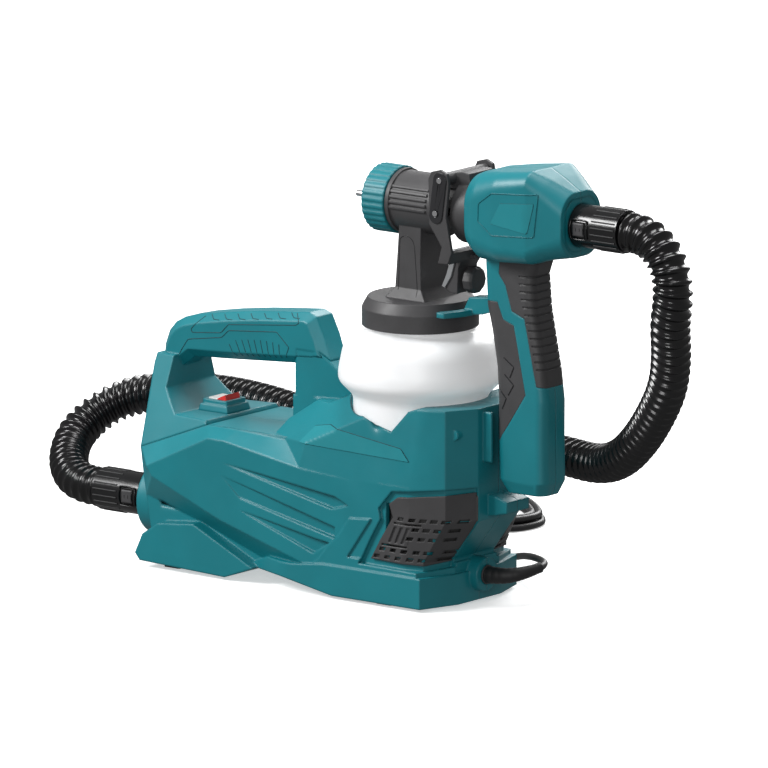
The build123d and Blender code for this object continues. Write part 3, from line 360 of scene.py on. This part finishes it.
# ---- hose ----------------------------------------------------------------------------
HOSE_DIAMETER = 0.034
HOSE_PITCH = 0.0086
HOSE_VALLEY = 0.0034       # how far the corrugation's valley lies below its crest
HOSE_ROUTE = [(-.283, 0, .047), (-.304, 0, .047), (-.326, .009, .0515), (-.346, .029, .060),
              (-.359, .054, .074), (-.355, .077, .089), (-.338, .093, .102), (-.312, .100, .110),
              (-.280, .103, .114), (-.240, .104, .117), (-.196, .102, .116), (-.146, .098, .111),
              (-.096, .097, .105), (-.044, .103, .102), (.012, .112, .105), (.068, .116, .109),
              (.122, .110, .108), (.168, .099, .107), (.206, .080, .120), (.238, .063, .143),
              (.266, .047, .170), (.290, .032, .199), (.303, .019, .230), (.310, .007, .257),
              (.317, .0022, .280), (.3168, .001, .298), (.3125, .0003, .311), (.305, 0, .321),
              (.2954, 0, .3283), (.284, 0, .332), (.272, 0, .332)]


def hose_radius(distance, angle):
    """Helical corrugation: narrow round crests and wider valleys."""
    turn = (distance / HOSE_PITCH + angle / tau) % 1.0
    crest = max(0.0, cos(pi * (turn - 0.5))) ** 4
    return HOSE_DIAMETER / 2 - HOSE_VALLEY * (1 - crest)


def add_hose():
    """Corrugated tube from cuff to cuff on a fixed curved route between base and gun."""
    line = resample(centre_line(HOSE_ROUTE), HOSE_PITCH / 10)
    hose = tube_mesh("air_hose", line, hose_radius, MATERIALS["hose_plastic"], sides=32)
    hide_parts("hose")
    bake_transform(hose)


add_hose()

# ---- cord relief ---------------------------------------------------------------------
RELIEF_THICK = 0.0074            # radius at the gland
RELIEF_THINNER = 0.0029          # how much less it is where the cord comes out
RELIEF_TAPER = 0.044
RELIEF_RING_STEP = 0.0055
RELIEF_LINE = [(.1265, 0, .025), (.140, .001, .025), (.150, .0079, .0264), (.1565, .019, .0285),
               (.158, .030, .0300)]


def add_relief():
    """Fat tapered sleeve with shallow rings where the cord leaves the base."""
    line = resample(centre_line(RELIEF_LINE), 0.0008)

    def radius_at(distance, angle):
        share = min(1.0, distance / RELIEF_TAPER)
        ring = 0.00035 * max(0.0, sin(tau * distance / RELIEF_RING_STEP)) * (1 - share)
        return RELIEF_THICK - RELIEF_THINNER * share ** 1.3 - ring

    relief = tube_mesh("cord_sleeve", line, radius_at, MATERIALS["black_rubber"])
    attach(relief, "base")
    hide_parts("cord_relief")
    return relief


# ---- power cord ----------------------------------------------------------------------
CORD_DIAMETER = 0.006
CORD_SPACING = 0.0062            # between neighbouring turns
CORD_ROUTE = [(.1212, 0, .025), (.1408, 0, .025), (.1559, .0126, .0275), (.1593, .032, .030),
              (.1495, .049, .031), (.112, .073, .0275), (.076, .097, .017), (.044, .122, .007),
              (.012, .150, .0032), (-.022, .180, .0032), (-.056, .216, .0032)]
COIL_CENTRE = Vector((-0.098, 0.282, 0.0))
COIL_ALONG = Vector((cos(radians(145)), sin(radians(145)), 0.0))
COIL_ACROSS = Vector((-COIL_ALONG.y, COIL_ALONG.x, 0.0))
COIL_TURNS = 3.89
COIL_FLOOR_TURNS = 2.0           # turns that lie on the floor, under the others
COIL_CLIMB = 0.35                # share of a turn over which the cord climbs onto them
COIL_RADIUS = 0.036              # of the first turn's ends
CORD_LYING = 0.0032              # height of the cord's centre on the floor
HUMP_REACH = radians(52)
COIL_START = radians(115)        # where the cord joins the coil
COIL_CROSSING = radians(138)     # where later turns pass over the cord that leads in
COIL_STRAIGHT = 0.028            # half the length of the coil's straight sides
COIL_TAIL = [(-.067, .2296, .0125), (-.0765, .2232, .0135), (-.0845, .2129, .0125),
             (-.092, .202, .0108), (-.0992, .1911, .0102), (-.1085, .1829, .0102),
             (-.1205, .1798, .0102), (-.125, .180, .0102)]


def coil_points():
    """Loose turns that drift outwards on the floor, then back inwards on top of those."""
    dense = []
    count = round(COIL_TURNS * 72)
    for n in range(count + 1):
        turn = COIL_TURNS * n / count
        angle = COIL_START - tau * turn
        climb = max(0.0, min(1.0, (turn - COIL_FLOOR_TURNS) / COIL_CLIMB))
        drift = (min(turn, COIL_FLOOR_TURNS) - 0.5 * climb
                 - max(0.0, turn - COIL_FLOOR_TURNS - COIL_CLIMB))
        around = COIL_RADIUS + CORD_SPACING * drift + 0.001 * sin(angle + 0.7)
        off = (angle - COIL_CROSSING + pi) % tau - pi
        over_lead_in = turn > 0.4 and abs(off) < HUMP_REACH
        hump = cos(off * pi / 2 / HUMP_REACH) ** 2 if over_lead_in else 0.0
        height = CORD_LYING + CORD_SPACING * (climb + hump)
        straight = COIL_STRAIGHT * max(-1.0, min(1.0, 1.9 * cos(angle)))
        dense.append(COIL_CENTRE + COIL_ALONG * (straight + cos(angle) * around)
                     + COIL_ACROSS * sin(angle) * around + Vector((0, 0, height)))
    return resample(dense, 0.011)


def add_power_cord(relief):
    """Cord from inside the gland over the floor, round the coil and into the plug."""
    route = [*CORD_ROUTE, *coil_points(), *COIL_TAIL]
    cord = new_curve("power_cord_line", route, MATERIALS["cord_rubber"], CORD_DIAMETER / 2)
    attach(cord, "base")
    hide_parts("power_cord", "cord_coil")


add_power_cord(add_relief())

# ---- paint cup -----------------------------------------------------------------------
CUP_X = 0.0555
CUP_OUTSIDE = [(0.0, .116), (.050, .116), (.056, .122), (.056, .170), (.0686, .1825), (.0686, .191),
               (.0645, .211), (.058, .219), (.047, .223), (.0435, .226), (.0435, .246)]
CUP_INSIDE = [(.0410, .246), (.0410, .2245), (.046, .221), (.0565, .217), (.0625, .210),
              (.0668, .1905), (.0668, .1835), (.054, .171), (.054, .123), (.049, .118), (0.0, .118)]


def add_cup():
    """Thin-walled cup with a belly above its narrower foot."""
    profile = [*soften(CUP_OUTSIDE, 0.005), *soften(CUP_INSIDE, 0.005)]
    cup = lathe("paint_cup", profile, (CUP_X, 0.0), MATERIALS["cup_plastic"])
    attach(cup, "cup")
    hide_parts("cup")


add_cup()


# ---- hose cuffs ----------------------------------------------------------------------
CUFF_RADIUS = 0.018
CUFF_FLUTES = 20
LATCH_FRAMES = ((0.0085, 0.0007), (0.0052, 0.0006), (0.002, 0.0007))   # (half width, thickness)


def add_cuff_details(end, body, latch_x, flute_from, flute_to, axis_z):
    """Flutes round a cuff, and nested frames on its latch button."""
    for n in range(CUFF_FLUTES):
        angle = tau * (n + 0.5) / CUFF_FLUTES
        y, z = CUFF_RADIUS * sin(angle), axis_z + CUFF_RADIUS * cos(angle)
        flute = new_curve(f"cuff_flute_{end}_{n}", [(flute_from, y, z), (flute_to, y, z)],
                          MATERIALS["black_rubber"], 0.0007, smooth=False)
        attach(flute, body)
    for number, (half, thick) in enumerate(LATCH_FRAMES):
        frame_line = []
        for n in range(41):
            angle = tau * n / 40
            reach = half / max(abs(cos(angle)), abs(sin(angle))) ** 0.8
            x, up = latch_x + reach * cos(angle), reach * sin(angle)
            depth = max((CUFF_RADIUS ** 2 - up ** 2) ** 0.5, CUFF_RADIUS - 0.0012)
            frame_line.append((x, -depth - 0.0006, axis_z + up))
        latch = new_curve(f"latch_frame_{end}_{number}", frame_line, MATERIALS["hose_plastic"],
                          thick, smooth=False)
        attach(latch, body)


add_cuff_details("base", "base", -0.244, -0.281, -0.256, 0.047)
add_cuff_details("gun", "gun", 0.234, 0.246, 0.270, 0.332)


# ---- engraved lines drawn in painted groove shade, and blank labels --------------------
def draped_patch(name, node, outline, material, body, direction=(0, 1, 0), step=0.004,
                 lift=0.0003, deepest=0.0, reach=0.5):
    """Thin patch of an outline of row-frame points, thrown onto a CAD surface and lifted off it.

    Each point is thrown along direction from reach before the mid-plane, and points that land
    further along it than deepest are left out.
    """
    direction = Vector(direction).normalized()
    side = direction.cross(Vector((0, 0, 1))).normalized()
    rise = side.cross(direction)
    edge = resample([Vector(p) for p in (*outline, outline[0])], step)[:-1]
    flat = [Vector((p.dot(side), p.dot(rise))) for p in edge]
    low = [min(p[k] for p in flat) for k in (0, 1)]
    high = [max(p[k] for p in flat) for k in (0, 1)]
    inner = [Vector((low[0] + step * (a + 0.5), low[1] + step * (b + 0.5)))
             for a in range(int((high[0] - low[0]) / step))
             for b in range(int((high[1] - low[1]) / step))]
    ring = [list(range(len(flat)))]
    points, _, faces, *_ = delaunay_2d_cdt(flat + inner, [], ring, 1, 0.00001)
    vertices = []
    for point in points:
        start = side * point.x + rise * point.y - direction * reach
        place = surface_point(node, start, direction)
        lands = place is not None and place.dot(direction) < deepest
        vertices.append(place - direction * lift if lands else None)
    known = [v for v in vertices if v]
    faces = [f for f in faces if all(vertices[k] for k in f)]
    vertices = [v or known[0] for v in vertices]
    piece = new_mesh(name, vertices, faces, material)
    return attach(piece, body)


# outlines as (X, Z), seen square on from either side
HANDLE_LINES = {
    "upper": [(-.1629, .2111), (-.1751, .1991), (-.1731, .1966), (-.1428, .1999), (-.1346, .2079),
              (-.0625, .2160), (-.0591, .2186), (-.0659, .2250)],
    "lower": [(-.1872, .1765), (-.1855, .1797), (-.1780, .1903), (-.1420, .1960),
              (-.1346, .2028), (-.0831, .2077), (-.0703, .1961), (-.0739, .1868)]}
LOWER_RIB_TOPS = (.1913, .1955, .1967, .1975, .1982, .1986, .1988, .1984, .1975)
GUN_LABEL = [(.1677, .3491), (.2001, .3519), (.1943, .3261), (.1578, .3312)]
GUN_PANEL = [(.1589, .3567), (.2035, .3599), (.1997, .3238), (.1589, .3214), (.1443, .3318),
             (.1449, .3466), (.1589, .3567)]
BASE_LABEL = [(-.0269, .1278), (-.0175, .1411), (.0019, .1450), (.0816, .1354), (.0908, .1257)]
COLUMN_ARCH = [(.0476, .2600), (.0480, .2950), (.0484, .3029), (.0510, .3050), (.0547, .3058),
               (.0587, .3050), (.0620, .3022), (.0637, .2980), (.0660, .2750), (.0679, .2560)]
GRIP_CHEVRONS = [[(.1560, .2150), (.1665, .2080), (.1625, .1990)],
                 [(.1570, .2010), (.1665, .1930), (.1610, .1840)],
                 [(.1520, .1880), (.1590, .1810), (.1550, .1720)]]
# outline of the painted shade patch in the space behind the vents
GRILLE_SHADE = [(.054, .041), (.063, .057), (.076, .077), (.072, .088), (.081, .0935),
               (.122, .098), (.138, .099), (.138, .075), (.116, .041)]


def add_details():
    """Moulded outlines and ribs drawn as lines of painted groove shade, blank labels, and a patch of
    painted shade for the space behind the vents, on both sides.
    """
    def line(name, node, places, body, direction, radius=0.00035, material="teal_groove_shade",
             slot="teal_plastic"):
        outline = [(x, 0.0, z) for x, z in places]
        piece = traced_line(name, node, outline, MATERIALS[material], radius, body, direction)

    def patch(name, node, places, body, direction, material, slot="teal_plastic", **how):
        outline = [(x, 0.0, z) for x, z in places]
        piece = draped_patch(name, node, outline, MATERIALS[material], body, direction, **how)

    for side, direction in (("near", (0, 1, 0)), ("far", (0, -1, 0))):
        # handle outlines and ribs are drawn as thin lines of painted groove shade
        for place, outline in HANDLE_LINES.items():
            line(f"handle_line_{place}_{side}", "carry_handle", outline, "base", direction)
        for k in range(7):
            x, z = -.1572 + .0142 * k, .2132 + .0019 * k
            places = [(x, z), (x + .0049, z - .0032), (x + .0116, z - .0030)]
            line(f"handle_rib_top_{side}_{k}", "carry_handle", places, "base", direction)
        for k, top in enumerate(LOWER_RIB_TOPS):
            places = [(-.1337 + .0066 * k, top), (-.1300 + .0062 * k, top - .007),
                      (-.1272 + .0060 * k, .182 + .0005 * k)]
            line(f"handle_rib_low_{side}_{k}", "carry_handle", places, "base", direction)
        patch(f"gun_label_{side}", f"gun_shell_{side}", GUN_LABEL, "gun", direction, "teal_field")
        # the label's edge is a line of painted shade where the label steps
        line(f"gun_label_edge_{side}", f"gun_shell_{side}", [*GUN_LABEL, GUN_LABEL[0]], "gun",
             direction, 0.0002)
        line(f"gun_panel_line_{side}", f"gun_shell_{side}", GUN_PANEL, "gun", direction, 0.0006,
             "teal_plastic")
        patch(f"base_label_{side}", f"housing_{side}", BASE_LABEL, "base", direction, "teal_field",
              step=0.002, lift=0.0009)
        # painted shade line round the base label's edge
        line(f"base_label_edge_{side}", f"housing_{side}", [*BASE_LABEL, BASE_LABEL[0]], "base",
             direction, 0.0003)
        # the column arch and grip chevrons are black lines of painted shade in their grooves
        line(f"column_arch_{side}", "spray_head", COLUMN_ARCH, "gun", direction, 0.0003,
             "plate_black_and_groove_shade", "dark_plastic")
        for k, chevron in enumerate(GRIP_CHEVRONS):
            line(f"grip_chevron_{side}_{k}", "grip_front", chevron, "gun", direction, 0.0006,
                 "plate_black_and_groove_shade", "dark_plastic")
        # painted shade: a near-black patch stands for the shade in the space behind the vents
        patch(f"vent_shade_{side}", f"housing_{side}", GRILLE_SHADE, "base", direction, "carbon",
              "filter_foam", lift=0.0006, deepest=-0.012)


add_details()


# ---- stage ---------------------------------------------------------------------------
FLOOR_REACH = 80.0


def add_light(name, place, aim, size, power, colour=(1.0, 1.0, 1.0)):
    """Soft box that shines at a point and that the camera doesn't see."""
    data = bpy.data.lights.new(name, "AREA")
    data.shape = "SQUARE"
    data.size = size
    data.energy = power
    data.color = colour
    lamp = bpy.data.objects.new(name, data)
    scene.collection.objects.link(lamp)
    lamp.location = place
    lamp.rotation_euler = (Vector(aim) - Vector(place)).to_track_quat("-Z", "Y").to_euler()
    lamp.visible_camera = False


def add_stage():
    """Pale floor, soft boxes and an even sky."""
    floor_paint = bpy.data.materials.new("floor_paint")
    floor_paint.use_nodes = True
    shader = floor_paint.node_tree.nodes["Principled BSDF"]
    shader.inputs["Base Color"].default_value = (0.9, 0.9, 0.9, 1.0)
    shader.inputs["Roughness"].default_value = 0.9
    shader.inputs["Emission Color"].default_value = (1.0, 1.0, 1.0, 1.0)
    shader.inputs["Emission Strength"].default_value = 0.5
    corners = [(x * FLOOR_REACH, y * FLOOR_REACH, 0) for x, y in ((-1, -1), (1, -1), (1, 1), (-1, 1))]
    floor = new_mesh("floor", corners, [(0, 1, 2, 3)], floor_paint, smooth=False)
    floor.visible_diffuse = False
    floor.visible_glossy = False

    world = bpy.data.worlds.new("studio")
    scene.world = world
    world.use_nodes = True
    sky = world.node_tree.nodes["Background"]
    sky.inputs["Color"].default_value = (1.0, 1.0, 1.0, 1.0)
    sky.inputs["Strength"].default_value = 0.25
    add_light("key", (-1.7, -2.2, 2.2), (0, 0, 0.2), 1.3, 120)
    add_light("front", (1.6, -2.4, 0.9), (0, 0, 0.2), 0.9, 20)
    add_light("overhead", (0.0, 0.3, 2.8), (0, 0, 0.1), 1.5, 60)
    add_light("behind", (-0.8, 2.6, 1.6), (0, 0, 0.2), 1.6, 50)
    scene.view_settings.view_transform = "Standard"


add_stage()
